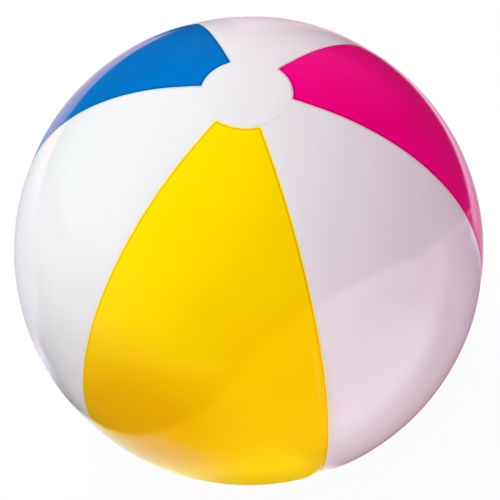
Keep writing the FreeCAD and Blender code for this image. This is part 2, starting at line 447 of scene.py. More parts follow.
def new_material(name: str) -> tuple[Material, Bench]:
    """Starts an empty material.

    Args:
        name: the material's name.

    Returns:
        The material and the bench for its nodes.
    """
    material = bpy.data.materials.new(name)
    material.use_nodes = True
    return material, Bench(material.node_tree)


class EffectGroup:
    """A shader node group with named number inputs and one output, built once and shared by the finishes."""

    def __init__(self, name: str, numbers: dict[str, float], output: str) -> None:
        """Makes the group with its sockets.

        Args:
            name: the group's name.
            numbers: its number inputs with what they are when nothing is said.
            output: the name of its one output.
        """
        self.tree = bpy.data.node_groups.new(name, "ShaderNodeTree")
        self.bench = Bench(self.tree)
        sockets = self.tree.interface
        sockets.new_socket("Vector", in_out="INPUT", socket_type="NodeSocketVector")
        for label, value in numbers.items():
            socket = sockets.new_socket(label, in_out="INPUT", socket_type="NodeSocketFloat")
            socket.default_value = value
        sockets.new_socket(output, in_out="OUTPUT", socket_type="NodeSocketFloat")
        self.inputs = self.bench.add("NodeGroupInput").outputs
        self.output = output

    def close(self, value: Socket) -> None:
        """Ends the group with the socket that feeds its output."""
        self.bench.add("NodeGroupOutput", {self.output: value})

    def place(self, bench: Bench, place: Socket, **numbers: float) -> Socket:
        """Uses the group in a material.

        Args:
            bench: the material's bench.
            place: the coordinates it reads.
            numbers: its inputs, with underscores for spaces.

        Returns:
            The group's output.
        """
        inputs = {name.replace("_", " ").capitalize(): value for name, value in numbers.items()}
        node = bench.add("ShaderNodeGroup", node_tree=self.tree)
        bench.tree.links.new(place, node.inputs["Vector"])
        for name, value in inputs.items():
            node.inputs[name].default_value = value
        return node.outputs[0]


class Effects:
    """The effects that the finishes share."""

    def __init__(self) -> None:
        """Builds each effect's node group."""
        self.grain = self._grain()
        self.drift = self._drift()
        self.scuffs = self._scuffs()

    @staticmethod
    def _grain() -> EffectGroup:
        """Builds the calendered film's faint flow and orange peel.

        Returns:
            A group whose output is a height in metres.
        """
        numbers = {"Peel scale": 260.0, "Peel height": 1e-5, "Flow height": 1e-4}
        group = EffectGroup("film_grain", numbers, "Height")
        bench, inputs = group.bench, group.inputs
        flow = bench.noise(inputs["Vector"], scale=14.0, detail=1.0, roughness=0.4)
        peel = bench.noise(inputs["Vector"], inputs["Peel scale"], detail=1.5)
        fine = bench.maths("MULTIPLY", peel, inputs["Peel height"])
        group.close(bench.maths("MULTIPLY_ADD", flow, inputs["Flow height"], fine))
        return group

    @staticmethod
    def _drift() -> EffectGroup:
        """Builds the slow drift of the pigment's depth over the film.

        Returns:
            A group whose output is a mask.
        """
        group = EffectGroup("pigment_drift", {"Scale": 6.0, "Amount": 1.0}, "Mask")
        bench, inputs = group.bench, group.inputs
        slow = bench.noise(inputs["Vector"], inputs["Scale"], detail=3.0, roughness=0.55)
        group.close(bench.maths("MULTIPLY", bench.remap(slow, low=0.3, high=0.7), inputs["Amount"]))
        return group

    @staticmethod
    def _scuffs() -> EffectGroup:
        """Builds the fine rubbed patches of handled film.

        Returns:
            A group whose output is a mask.
        """
        group = EffectGroup("handling_scuffs", {"Scale": 40.0, "Amount": 1.0}, "Mask")
        bench, inputs = group.bench, group.inputs
        wide = bench.noise(inputs["Vector"], scale=9.0, detail=3.0, roughness=0.6)
        stretched = bench.add("ShaderNodeMapping", {"Vector": inputs["Vector"], "Scale": (1.0, 0.3, 1.0)})
        fine = bench.noise(stretched.outputs[0], inputs["Scale"], detail=4.0, roughness=0.65)
        patches, streaks = bench.remap(wide, low=0.5, high=0.72), bench.remap(fine, low=0.45, high=0.7)
        both = bench.maths("MULTIPLY", patches, streaks)
        group.close(bench.maths("MULTIPLY", both, inputs["Amount"]))
        return group


@dataclass(frozen=True)
class Finish:
    """What the film and the moulded vinyl share: a drifting colour, fine grain and rubbed patches."""

    name: str
    colour: Colour
    deep_colour: Colour
    roughness: float = 0.1
    rubbed: float = 0.12
    index: float = 1.52
    drift_scale: float = 7.0
    scuff_scale: float = 55.0
    peel_scale: float = 320.0
    peel_height: float = 6e-6
    flow_height: float = 1.5e-4

    def material(self, effects: Effects) -> Material:
        """Builds the material.

        Args:
            effects: the shared node groups.

        Returns:
            The material.
        """
        material, bench = new_material(self.name)
        place = bench.add("ShaderNodeTexCoord").outputs["Object"]
        drift = effects.drift.place(bench, place, scale=self.drift_scale, amount=1.0)
        scuffs = effects.scuffs.place(bench, place, scale=self.scuff_scale, amount=1.0)
        heights = {"peel_height": self.peel_height, "flow_height": self.flow_height}
        grain = effects.grain.place(bench, place, peel_scale=self.peel_scale, **heights)
        colour = bench.mix(drift, (*self.colour, 1.0), (*self.deep_colour, 1.0))
        bump = bench.add("ShaderNodeBump", {"Height": grain, "Distance": 1.0, "Strength": 1.0})
        inputs = {
            "Base Color": self._print_on(bench, place, colour),
            "Roughness": bench.remap(scuffs, 0.0, 1.0, self.roughness, self.roughness + self.rubbed),
            "IOR": self.index,
            "Normal": bump.outputs[0],
            **self._body(),
        }
        shader = bench.add("ShaderNodeBsdfPrincipled", inputs)
        bench.add("ShaderNodeOutputMaterial", {"Surface": shader.outputs[0]})
        return material

    def _print_on(self, bench: Bench, place: Socket, colour: Socket) -> Socket:
        """Returns the colour with what is laid over it, here nothing."""
        return colour

    def _body(self) -> dict[str, object]:
        """Returns the shader's inputs that only this kind of finish has, here none."""
        return {}


@dataclass(frozen=True)
class FilmFinish(Finish):
    """Glossy calendered vinyl film. A coloured one has a pale line along its seams, partly the heat-sealed
    film edge's lighter colour and partly a painted highlight of the weld edge, and beside it a darker line,
    partly ink and partly painted shade in the sunken weld line.
    """

    tint: Colour = (1.0, 1.0, 1.0)
    # Pale seam line: the heat-sealed film edge's lighter colour together with a painted highlight of the weld
    # edge.
    selvage_and_highlight: Colour | None = None
    # Darker line beside the seam: ink together with painted shade in the sunken weld line.
    groove_ink_and_shade: Colour | None = None
    selvage_and_highlight_edge: Pair = (0.001495, 0.001105)
    groove_ink_and_shade_edge: Pair = (0.00338, 0.00182)
    # Painted shade: a deeper orange patch round one place on the gore, where shade falls.
    painted_shade: Colour | None = None
    painted_shade_place: Place = (-0.046, -0.194, 0.015)
    painted_shade_edge: Pair = (0.105, 0.03)

    def _print_on(self, bench: Bench, place: Socket, colour: Socket) -> Socket:
        """Lays the painted shade patch, the darker seam line of ink and painted shade, and the pale seam line
        with its painted highlight over the film's colour.

        Args:
            bench: the material's bench.
            place: the piece's own coordinates.
            colour: the film's colour.

        Returns:
            The colour with all of them.
        """
        # Painted shade: the colour deepens towards orange round one place on the gore.
        if self.painted_shade:
            gap = bench.vector_maths("DISTANCE", place, self.painted_shade_place)
            colour = bench.mix(bench.remap(gap, *self.painted_shade_edge), colour, (*self.painted_shade, 1.0))
        if self.selvage_and_highlight and self.groove_ink_and_shade:
            seam = bench.add("ShaderNodeAttribute", attribute_name=SEAM).outputs["Fac"]
            # Darker line: ink and painted shade in the sunken weld line.
            colour = bench.mix(bench.remap(seam, *self.groove_ink_and_shade_edge), colour, (*self.groove_ink_and_shade, 1.0))
            # Pale line at the seam: the film edge's lighter colour and a painted highlight of the weld edge.
            colour = bench.mix(bench.remap(seam, *self.selvage_and_highlight_edge), colour, (*self.selvage_and_highlight, 1.0))
        return colour

    def _body(self) -> dict[str, object]:
        """Returns the tint of the film's mirror."""
        return {"Specular Tint": (*self.tint, 1.0)}


@dataclass(frozen=True)
class MouldedFinish(Finish):
    """Soft milky vinyl, as the valve is moulded from."""

    roughness: float = 0.28
    rubbed: float = 0.2
    index: float = 1.5
    drift_scale: float = 60.0
    scuff_scale: float = 400.0
    peel_scale: float = 1500.0
    peel_height: float = 4e-6
    flow_height: float = 1e-5
    milkiness: float = 0.35
    milk_radius: Colour = (1.0, 0.9, 0.85)
    milk_depth: float = 0.002

    def _body(self) -> dict[str, object]:
        """Returns the milky body's scattering."""
        scattering = {"Weight": self.milkiness, "Radius": self.milk_radius, "Scale": self.milk_depth}
        return {f"Subsurface {name}": value for name, value in scattering.items()}


# In each coloured film below, the pale seam line is partly a painted highlight and the darker seam line partly
# painted shade; the yellow one also has a patch of painted shade.
YELLOW = FilmFinish(
    "yellow_film",
    linear(255, 220, 1),
    linear(254, 213, 1),
    tint=(1.0, 0.75, 0.02),
    selvage_and_highlight=linear(253, 236, 130),
    groove_ink_and_shade=linear(228, 180, 1),
    painted_shade=linear(247, 187, 0),
)
PINK = FilmFinish(
    "pink_film",
    linear(244, 1, 134),
    linear(238, 0, 124),
    tint=(1.0, 0.06, 0.36),
    selvage_and_highlight=linear(250, 176, 214),
    groove_ink_and_shade=linear(170, 0, 74),
)
BLUE = FilmFinish(
    "blue_film",
    linear(1, 114, 195),
    linear(0, 104, 177),
    tint=(0.02, 0.4, 1.0),
    selvage_and_highlight=linear(184, 222, 240),
    groove_ink_and_shade=linear(0, 66, 120),
)
WHITE = FilmFinish("white_film", linear(232, 231, 232), linear(229, 228, 230))
VALVE = MouldedFinish("valve_vinyl", linear(238, 240, 240), linear(230, 233, 234))


# ---------------------------------------------------------------- the ball


@dataclass
class BallMeasures:
    """Sizes of the ball that several pieces share."""

    radius: float
    disc_radius: float
    film: float = 0.00025
    disc_weld: float = 0.010
    gores: int = 6

    @classmethod
    def from_frame(cls) -> "BallMeasures":
        """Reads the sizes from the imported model."""
        low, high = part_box("top_disc")
        return cls(radius=high.z - cls.film, disc_radius=(high.x - low.x) / 2)

    @property
    def gore_angle(self) -> float:
        """Angle that one gore covers."""
        return 2 * math.pi / self.gores

    @property
    def gore_end(self) -> float:
        """Distance from the axis to the cut ends of the gores, under the discs."""
        return self.disc_radius - self.disc_weld


@dataclass
class GoreSheet:
    """One film gore, drawn about +X: a lune of fine quads with rings of even width along its seams."""

    ball: BallMeasures
    make: Make
    rows: int = 26
    columns: int = 3
    row_cuts: int = 11
    column_cuts: int = 23
    long_edge: float = 0.012
    seam_rings: tuple[float, ...] = (0.00025, 0.00035, 0.0005, 0.0006, 0.0006, 0.0005, 0.0005, 0.0007, 0.001)
    lap_rings: tuple[float, ...] = (0.0003, 0.0009, 0.0048)
    lap_drop: float = 0.00027
    lap_edge: Pair = (-0.0003, 0.0007)
    coloured_edge: Pair = (0.0, 0.0005)
    coloured_share: float = 0.25
    valley_depth: float = 0.0007
    valley_reach: float = 0.013
    disc_edge: Pair = (0.001, 0.022)
    weld_lines: tuple[Pair, ...] = ((0.0011, 0.0006), (0.0046, 0.0007))
    weld_depth: float = 0.00009
    pucker_height: float = 0.00022
    pucker_scale: float = 0.25
    puckers_along: float = 9.0
    puckers_across: float = 2.0
    puckers_around: float = 2.2
    pucker_shift: float = 3.7
    seam_rise: Pair = (0.002, 0.006)
    seam_fade: float = 0.009
    end_rise: Pair = (-0.001, 0.004)
    end_fade: float = 0.008
    end_edge: Pair = (0.0, 0.005)

    @property
    def half(self) -> float:
        """Half the angle that the gore covers."""
        return self.ball.gore_angle / 2

    def seam_distance(self, place: Vector) -> float:
        """Measures how far a place, drawn about +X, is from the nearer seam, below 0 on the lap past it."""
        return place.x * math.sin(self.half) - abs(place.y) * math.cos(self.half)

    def disc_distance(self, place: Vector) -> float:
        """Measures how far outside the end disc's edge a place is, square to the axis."""
        return math.hypot(place.x, place.y) - self.ball.disc_radius

    def build(self, name: str) -> Object:
        """Makes the gore's sheet, without its relief and thickness.

        Args:
            name: the object's name.

        Returns:
            The sheet, drawn about +X.
        """
        obj = self._lune(name)
        with editing(obj):
            bpy.ops.mesh.select_all(action="SELECT")
            for width in self.seam_rings:
                bpy.ops.mesh.inset(thickness=width, use_boundary=True, use_even_offset=True)
        if self.make is not Make.COLOURED:
            self._laps(obj)
        self._subdivide(obj)
        lay_on_sphere(obj, self.ball.radius)
        mark(obj, SEAM, lambda co: min(self.seam_distance(co), self.disc_distance(co)))
        return obj

    def _lune(self, name: str) -> Object:
        """Spins a vertex into the seam's line, and the line into a lune of a few columns.

        Args:
            name: the object's name.

        Returns:
            The coarse lune.
        """
        sine, cosine, end = math.sin(self.half), math.cos(self.half), self.ball.gore_end
        pole = math.asin(end / self.ball.radius)
        obj = new_vertex(name, Vector((end * cosine, -end * sine, self.ball.radius * math.cos(pole))))
        turns = (
            (self.rows, 2 * pole - math.pi, (sine, cosine, 0)),
            (self.columns, -self.ball.gore_angle, UP),
        )
        with editing(obj):
            for steps, angle, axis in turns:
                bpy.ops.mesh.select_all(action="SELECT")
                bpy.ops.mesh.spin(steps=steps, angle=angle, center=ORIGIN, axis=axis)
        return obj

    def _laps(self, obj: Object) -> None:
        """Draws both long edges on past the seams, to lie under the coloured neighbours.

        Args:
            obj: the ringed lune.
        """

        def on_edge(co: Vector, span: Vector) -> bool:
            """Tells whether an edge of the mesh lies on the long edge as far as it is drawn out."""
            return abs(co.dot(outward) - reach) < 2e-5 and abs(span.dot(outward)) < 1e-5

        with editing(obj):
            for side in (-1, 1):
                outward = Vector((-math.sin(self.half), side * math.cos(self.half), 0))
                reach = 0.0
                for width in self.lap_rings:
                    pick(obj, Element.EDGES, on_edge)
                    bpy.ops.mesh.extrude_region_move(TRANSFORM_OT_translate={"value": outward * width})
                    reach += width

    def _subdivide(self, obj: Object) -> None:
        """Cuts the long rows and the wide columns finer.

        Args:
            obj: the ringed lune.
        """
        widest = max(self.seam_rings) * 1.7

        def slope(co: Vector, span: Vector) -> float:
            """Returns how far an edge runs round the axis, 0 for along a meridian to 1 for round it."""
            return abs(span.normalized().dot(UP.cross(co).normalized()))

        def is_long(co: Vector, span: Vector) -> bool:
            """Tells whether an edge runs the length of one of the long rows."""
            return span.length > self.long_edge and slope(co, span) < 0.5

        def is_wide(co: Vector, span: Vector) -> bool:
            """Tells whether an edge crosses one of the wide columns."""
            inside = abs(co.y) < co.x * math.tan(self.half)
            return span.length > widest and slope(co, span) > 0.5 and inside

        with editing(obj):
            for test, cuts in ((is_long, self.row_cuts), (is_wide, self.column_cuts)):
                pick(obj, Element.EDGES, test)
                bpy.ops.mesh.subdivide(number_cuts=cuts)

    def add_relief(self, obj: Object, serial: int) -> None:
        """Sinks the seams' valley and weld lines and raises the puckers beside them.

        Args:
            obj: the sheet, drawn about +X.
            serial: the gore's number round the ball, which shifts its puckers.
        """
        sink(obj, "valley", self.valley_depth, self._valley_weight)
        sink(obj, "weld", self.weld_depth, self._weld_weight)
        sink(obj, "edge", self.lap_drop, self._edge_weight)
        ripple = bpy.data.textures.new(f"{obj.name}_ripple", "CLOUDS")
        ripple.noise_scale, ripple.noise_depth = self.pucker_scale, 1
        shift = self.pucker_shift * serial

        def beside_seam(co: Vector) -> Pair:
            """Lays the puckers' pattern along the seam."""
            return self._along(co) * self.puckers_along + shift, self.seam_distance(co) * self.puckers_across

        def round_disc(co: Vector) -> Pair:
            """Lays the puckers' pattern round the end disc."""
            return math.atan2(co.y, co.x) * self.puckers_around + shift, co.z

        for name, lay, share in (
            ("seam_puckers", beside_seam, self._seam_pucker_weight),
            ("end_puckers", round_disc, self._end_pucker_weight),
        ):
            chart, group = map_surface(obj, name, lay), weigh(obj, name, share)
            settings = {"strength": self.pucker_height, "texture": ripple, "mid_level": 0.5}
            apply_modifier(
                obj, "DISPLACE", vertex_group=group, uv_layer=chart, texture_coords="UV", **settings
            )
        obj.vertex_groups.clear()
        while obj.data.uv_layers:
            obj.data.uv_layers.remove(obj.data.uv_layers[0])

    def _along(self, place: Vector) -> float:
        """Returns the distance along the seam from the equator."""
        return math.asin(max(-1.0, min(1.0, place.z / self.ball.radius))) * self.ball.radius

    def _clear_of_discs(self, place: Vector) -> float:
        """Returns 0 under the end discs, rising to 1 well outside them."""
        return smooth_step(self.disc_distance(place), *self.disc_edge)

    def _valley_weight(self, place: Vector) -> float:
        """Returns the share of the valley's depth at a place."""
        fall = math.exp(-max(0.0, self.seam_distance(place)) / self.valley_reach)
        return fall * self._clear_of_discs(place)

    def _weld_weight(self, place: Vector) -> float:
        """Returns the share of the weld line's depth at a place, full in the lines beside a coloured edge."""
        lines = self.weld_lines if self.make is Make.COLOURED else ()
        return grooves(self.seam_distance(place), lines)

    def _edge_weight(self, place: Vector) -> float:
        """Returns the share of the lap's drop at a place: the white film dives under the coloured edge.

        Args:
            place: a place on the gore drawn about +X.

        Returns:
            The share, 0 to 1.
        """
        distance = self.seam_distance(place)
        if self.make is Make.COLOURED:
            return self.coloured_share * (1 - smooth_step(distance, *self.coloured_edge))
        return 1 - smooth_step(distance, *self.lap_edge)

    def _seam_pucker_weight(self, place: Vector) -> float:
        """Returns the share of the puckers' height at a place beside a seam."""
        return swell(self.seam_distance(place), self.seam_rise, self.seam_fade) * self._clear_of_discs(place)

    def _end_pucker_weight(self, place: Vector) -> float:
        """Returns the share of the puckers' height at a place round an end disc."""
        beside = smooth_step(self.seam_distance(place), *self.end_edge)
        return beside * swell(self.disc_distance(place), self.end_rise, self.end_fade)


@dataclass
class ValveHole:
    """The round hole that a gore has for the valve, with a ring pressed round it by the weld."""

    ball: BallMeasures
    radius: float = 0.016
    ring: float = 0.0262
    opening: float = 0.028296
    surround: float = 0.03668
    weld_inner: Pair = (0.0167, 0.0175)
    weld_outer: Pair = (0.0219, 0.0227)
    weld_depth: float = 0.00018
    rings: int = 22

    def cut(self, obj: Object) -> None:
        """Replaces the film round the valve with a round patch that has the hole in its middle.

        Args:
            obj: the gore's sheet, drawn about +X.
        """
        with editing(obj):
            pick(obj, Element.FACES, lambda co, normal: co.x > 0 and max(abs(co.y), abs(co.z)) < self.opening)
            bpy.ops.mesh.delete(type="FACE")
            mesh = bmesh.from_edit_mesh(obj.data)
            count = sum(edge.is_boundary and self._beside(edge) for edge in mesh.edges)
        depth = math.sqrt(self.ball.radius**2 - self.ring**2)
        turned = {"location": (depth, 0, 0), "rotation": (0, math.pi / 2, 0)}
        circle = new_primitive("valve_opening", "circle", vertices=count, radius=self.ring, **turned)
        make_active(obj, circle)
        bpy.ops.object.join()
        with editing(obj):
            self._pick_ring(obj, self.ring, also_rim=True)
            bpy.ops.mesh.bridge_edge_loops(number_cuts=2, interpolation="PATH")
            radius = self.ring
            for step in self._steps():
                self._pick_ring(obj, radius)
                scale = step / radius
                bpy.ops.mesh.extrude_region_move()
                bpy.ops.transform.resize(value=(1, scale, scale), center_override=(depth, 0, 0))
                radius = step
            bpy.ops.mesh.select_all(action="SELECT")
            bpy.ops.mesh.normals_make_consistent(inside=False)
        lay_on_sphere(obj, self.ball.radius)

    def press(self, obj: Object) -> None:
        """Presses the weld ring round the hole into the gore's sheet, drawn about +X."""
        sink(obj, "valve_ring", self.weld_depth, self._ring_weight)

    def _steps(self) -> list[float]:
        """Returns the radii of the rings from the patch's edge in to the hole."""
        flat = self.ball.radius * math.asin(self.radius / self.ball.radius)
        return [self.ring + (flat - self.ring) * step / self.rings for step in range(1, self.rings + 1)]

    def _beside(self, edge: bmesh.types.BMEdge) -> bool:
        """Tells whether an edge runs round the opening left for the patch."""
        middle = (edge.verts[0].co + edge.verts[1].co) / 2
        return middle.x > 0 and max(abs(middle.y), abs(middle.z)) < self.surround

    def _pick_ring(self, obj: Object, radius: float, also_rim: bool = False) -> None:
        """Selects one ring of the patch by its open edges.

        Args:
            obj: the gore's sheet in edit mode.
            radius: the ring's radius.
            also_rim: whether the square opening round it is selected as well.
        """
        bpy.ops.mesh.select_mode(type="EDGE")
        bpy.ops.mesh.select_all(action="DESELECT")
        mesh = bmesh.from_edit_mesh(obj.data)
        for edge in mesh.edges:
            middle = (edge.verts[0].co + edge.verts[1].co) / 2
            off_ring = abs(math.hypot(middle.y, middle.z) - radius)
            is_open = len(edge.link_faces) < 2 and middle.x > 0
            if is_open and (off_ring < 1e-4 or (also_rim and self._beside(edge))):
                edge.select_set(True)
        bmesh.update_edit_mesh(obj.data)

    def _ring_weight(self, place: Vector) -> float:
        """Returns the share of the weld ring's depth at a place round the hole.

        Args:
            place: a place on the gore drawn about +X.

        Returns:
            The share, 0 to 1.
        """
        if place.x < 0:
            return 0.0
        reach = math.hypot(place.y, place.z)
        return smooth_step(reach, *self.weld_inner) * (1 - smooth_step(reach, *self.weld_outer))


@dataclass
class Envelope:
    """The ball's skin: the six gores, in order round the ball from -Y towards +X, and the two end discs."""

    ball: BallMeasures
    materials: dict[str, Material]
    gores: tuple[tuple[str, Make, Finish], ...] = (
        ("yellow_panel", Make.COLOURED, YELLOW),
        ("white_panel_right", Make.WHITE, WHITE),
        ("pink_panel", Make.COLOURED, PINK),
        ("white_panel_rear", Make.WHITE_WITH_VALVE, WHITE),
        ("blue_panel", Make.COLOURED, BLUE),
        ("white_panel_left", Make.WHITE, WHITE),
    )

    def build(self) -> None:
        """Builds and dresses every piece of the skin."""
        sheets = {make: GoreSheet(self.ball, make) for make in (Make.COLOURED, Make.WHITE)}
        blanks = {make: sheet.build(f"blank_{make.value}") for make, sheet in sheets.items()}
        hole = ValveHole(self.ball)
        for serial, (node, make, finish) in enumerate(self.gores):
            kind = Make.COLOURED if make is Make.COLOURED else Make.WHITE
            piece = self._copy(blanks[kind], f"{node}_film")
            if make is Make.WHITE_WITH_VALVE:
                hole.cut(piece)
            sheets[kind].add_relief(piece, serial)
            if make is Make.WHITE_WITH_VALVE:
                hole.press(piece)
            piece.rotation_euler = (0, 0, -math.pi / 2 + serial * self.ball.gore_angle)
            settle(piece)
            thicken(piece, self.ball.film)
            smooth(piece)
            dress(piece, self.materials[finish.name], "ball", finish.name, node)
        for blank in blanks.values():
            bpy.data.objects.remove(blank)
        for node in ("top_disc", "bottom_disc"):
            EndDisc(self.ball, node, node == "bottom_disc").build(self.materials[WHITE.name])

    @staticmethod
    def _copy(blank: Object, name: str) -> Object:
        """Copies an object with its own mesh.

        Args:
            blank: the object to copy.
            name: the copy's name.

        Returns:
            The copy.
        """
        copy = blank.copy()
        copy.data = blank.data.copy()
        copy.name = copy.data.name = name
        bpy.context.scene.collection.objects.link(copy)
        return copy


@dataclass
class EndDisc:
    """The round patch welded over one pole."""

    ball: BallMeasures
    node: str
    under: bool
    contact_radius: float = 0.018
    corners: int = 144
    edge_rings: tuple[float, ...] = (0.00015, 0.0002, 0.0003, 0.00045, 0.0006)
    inner_ring: float = 0.0007
    inner_rings: int = 44
    weld_lines: tuple[Pair, ...] = ((0.0252, 0.0006), (0.0322, 0.0006))
    weld_depth: float = 0.00012
    dish: Pair = (0.0228, 0.0242)
    dish_depth: float = 0.0001
    rim: Pair = (0.0335, 0.034)
    rim_depth: float = 0.00012

    def build(self, material: Material) -> None:
        """Makes the disc and dresses it.

        Args:
            material: the film it is cut from.
        """
        outer = self.ball.radius + self.ball.film
        height = math.sqrt(outer**2 - self.ball.disc_radius**2)
        obj = new_ring(f"{self.node}_film", self.ball.disc_radius, height, self.corners, "NGON")
        with editing(obj):
            bpy.ops.mesh.select_all(action="SELECT")
            for width in (*self.edge_rings, *[self.inner_ring] * self.inner_rings):
                bpy.ops.mesh.inset(thickness=width)
            bpy.ops.mesh.poke()
        lay_on_sphere(obj, outer)
        sink(obj, "weld", self.weld_depth, lambda co: grooves(math.hypot(co.x, co.y), self.weld_lines))
        sink(obj, "dish", self.dish_depth, lambda co: 1 - smooth_step(math.hypot(co.x, co.y), *self.dish))
        sink(obj, "rim", self.rim_depth, lambda co: smooth_step(math.hypot(co.x, co.y), *self.rim))
        obj.vertex_groups.clear()
        if self.under:
            self._press_flat(obj, outer)
        thicken(obj, self.ball.film * 0.8)
        if self.under:
            obj.rotation_euler = (math.pi, 0, 0)
            settle(obj)
        smooth(obj)
        dress(obj, material, "ball", WHITE.name, self.node)

    def _press_flat(self, obj: Object, outer: float) -> None:
        """Flattens the middle, where the ball stands on the floor.

        Args:
            obj: the disc, pole up.
            outer: radius of its outer face.
        """
        level = math.sqrt(outer**2 - self.contact_radius**2)
        with editing(obj):
            pick(obj, Element.VERTS, lambda co, normal: math.hypot(co.x, co.y) < self.contact_radius)
            bpy.ops.transform.resize(value=(1, 1, 0), center_override=(0, 0, level))


def dress(obj: Object, material: Material, body: str, slot: str, *nodes: str) -> None:
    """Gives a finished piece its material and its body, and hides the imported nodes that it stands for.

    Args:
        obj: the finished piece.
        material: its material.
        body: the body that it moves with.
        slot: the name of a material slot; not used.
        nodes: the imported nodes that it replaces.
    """
    obj.data.materials.clear()
    obj.data.materials.append(material)
    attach(obj, body)
    if nodes:
        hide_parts(*nodes)
    LOG.info("%s: %d faces, on %s", obj.name, len(obj.data.polygons), body)


# ---------------------------------------------------------------- the valve


@dataclass
class Valve:
    """The push-in valve, drawn about +Z and then turned to point along +Y."""

    ball: BallMeasures
    material: Material
    bore: float = 0.0032
    mouth: float = 0.0040
    wall: float = 0.006
    collar: float = 0.008
    flange_bore: float = 0.015
    flange_thickness: float = 0.0008
    flange_steps: int = 12
    web_thickness: float = 0.0008
    web_steps: int = 20
    web_curve: float = 0.55
    hinge_width: float = 0.003
    lip_height: float = 0.00577
    lip_thickness: float = 0.00045
    head: float = 0.0065
    head_height: float = 0.0016
    shank_tip: float = 0.0026
    shank_root: float = 0.00385
    arm_width: float = 0.004
    tab_width: float = 0.006
    arm_thickness: float = 0.001
    strap_thickness: float = 0.0007
    plug_grain: float = 0.00016
    strap_grain: float = 0.00012

    def build(self) -> None:
        """Builds and dresses the valve's pieces."""
        self._flange()
        self._web()
        self._stem()
        self._flap_lip()
        self._flap()
        self._plug()
        self._strap()

    @staticmethod
    def _turn(obj: Object, angle: float = 40.0) -> None:
        """Turns a piece drawn about +Z to point along +Y, its own +Y up, and shades it smooth.

        Args:
            obj: the piece to turn.
            angle: the sharpest edge that is still smooth, in degrees.
        """
        obj.matrix_world = Matrix(((-1, 0, 0, 0), (0, 0, 1, 0), (0, 1, 0, 0), (0, 0, 0, 1)))
        settle(obj)
        smooth(obj, angle)

    def _flange(self) -> None:
        """Makes the flange that is welded under the film, with its inner lip rolled over."""
        low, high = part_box("valve_flange")
        face = self.ball.radius - self.ball.film
        thickness, bore, outer = self.flange_thickness, self.flange_bore, (high.x - low.x) / 2
        profile = []
        for step in range(self.flange_steps + 1):
            reach = bore + 0.0003 + (outer - bore - 0.0005) * step / self.flange_steps
            profile.append((reach, math.sqrt(face**2 - reach**2)))
        profile.append((outer, math.sqrt(face**2 - outer**2) - 0.0003))
        below = [(reach, height - thickness) for reach, height in profile[:-1]]
        profile += [(outer, profile[-1][1] - thickness + 0.0006), *reversed(below)]
        lip = math.sqrt(face**2 - bore**2)
        profile += [(bore, lip - thickness + 0.0002), (bore, lip - 0.0002)]
        obj = lathe("valve_flange_ring", profile, 128)
        self._turn(obj)
        dress(obj, self.material, "ball", "valve_vinyl", "valve_flange")

    def _web(self) -> None:
        """Makes the soft web between the flange and the stem, drawn in as an even S."""
        low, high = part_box("valve_web")
        outer, top, bottom = (high.x - low.x) / 2, high.y, low.y + self.web_thickness
        upper = []
        for step in range(self.web_steps + 1):
            share = step / self.web_steps
            fall = (1 - self.web_curve) * share + self.web_curve * smooth_step(share, 0.0, 1.0)
            upper.append((outer + (self.collar - outer) * share, top + (bottom - top) * fall))
        lower = [(radius, level - self.web_thickness) for radius, level in reversed(upper)]
        obj = lathe("valve_web_skin", upper + lower, 128)
        self._turn(obj, 60)
        obj.data.materials.append(self.material)
        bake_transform(obj)
        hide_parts("valve_web")
        LOG.info("%s: %d faces, between ball and stem", obj.name, len(obj.data.polygons))

    def _stem(self) -> None:
        """Makes the tube with its tapered mouth, rolled rim and collar."""
        rim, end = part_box("valve_stem")[1].y, self._stem_end()
        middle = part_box("valve_web")[0].y + 0.0004
        bore, mouth, wall, collar = self.bore, self.mouth, self.wall, self.collar
        foot = [(bore, end + 0.0002), (bore + 0.0002, end), (wall - 0.0005, end), (wall, end + 0.0005)]
        step = [(0.0, 0.0010), (0.0003, 0.0006), (collar - wall - 0.0003, 0.0006), (collar - wall, 0.0003)]
        below = [(wall + out, middle - down) for out, down in step]
        above = [(wall + out, middle + up) for out, up in reversed(step)]
        head = [(wall, rim - 0.0006), (wall - 0.0002, rim - 0.0002), (wall - 0.0006, rim)]
        inside = [(mouth + 0.0004, rim), (mouth + 0.0001, rim - 0.0001), (mouth, rim - 0.0004)]
        profile = [*foot, *below, *above, *head, *inside, (bore, rim - 0.0040)]
        obj = lathe("valve_stem_tube", profile, 96)
        self._turn(obj)
        dress(obj, self.material, "stem", "valve_vinyl", "valve_stem")

    @staticmethod
    def _stem_end() -> float:
        """Returns where the stem's tube ends, just clear of the check flap that shuts it."""
        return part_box("check_flap")[1].y + 0.0001

    def _flap_lip(self) -> None:
        """Makes the lip on the stem that carries the check flap."""
        inner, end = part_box("valve_stem")[0].y, self._stem_end()
        size = (self.hinge_width, end - inner + 0.0002, self.lip_thickness)
        lip = new_block("valve_flap_lip", size, (0, (inner + end) / 2 + 0.0001, self.lip_height))
        apply_modifier(lip, "BEVEL", width=0.00012, segments=3)
        smooth(lip)
        dress(lip, self.material, "stem", "valve_vinyl")

    def _flap(self) -> None:
        """Makes the check flap: a thin disc with a rounded edge, and its hinge tab."""
        low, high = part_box("check_flap")
        radius, thickness, base = (high.x - low.x) / 2, high.y - low.y, low.y
        profile = [
            (0, base),
            (radius - 0.0006, base),
            (radius - 0.0001, base + 0.0001),
            (radius, base + thickness * 0.5),
            (radius - 0.0001, base + thickness - 0.0001),
            (radius - 0.0006, base + thickness),
            (0, base + thickness),
        ]
        obj = lathe("check_flap_disc", profile, 64, closed=False)
        size = (self.hinge_width, high.z, thickness * 0.96)
        self._fuse(obj, new_block("flap_tab", size, (0, high.z / 2, base + thickness / 2)))
        self._turn(obj)
        dress(obj, self.material, "check_flap", "valve_vinyl", "check_flap")

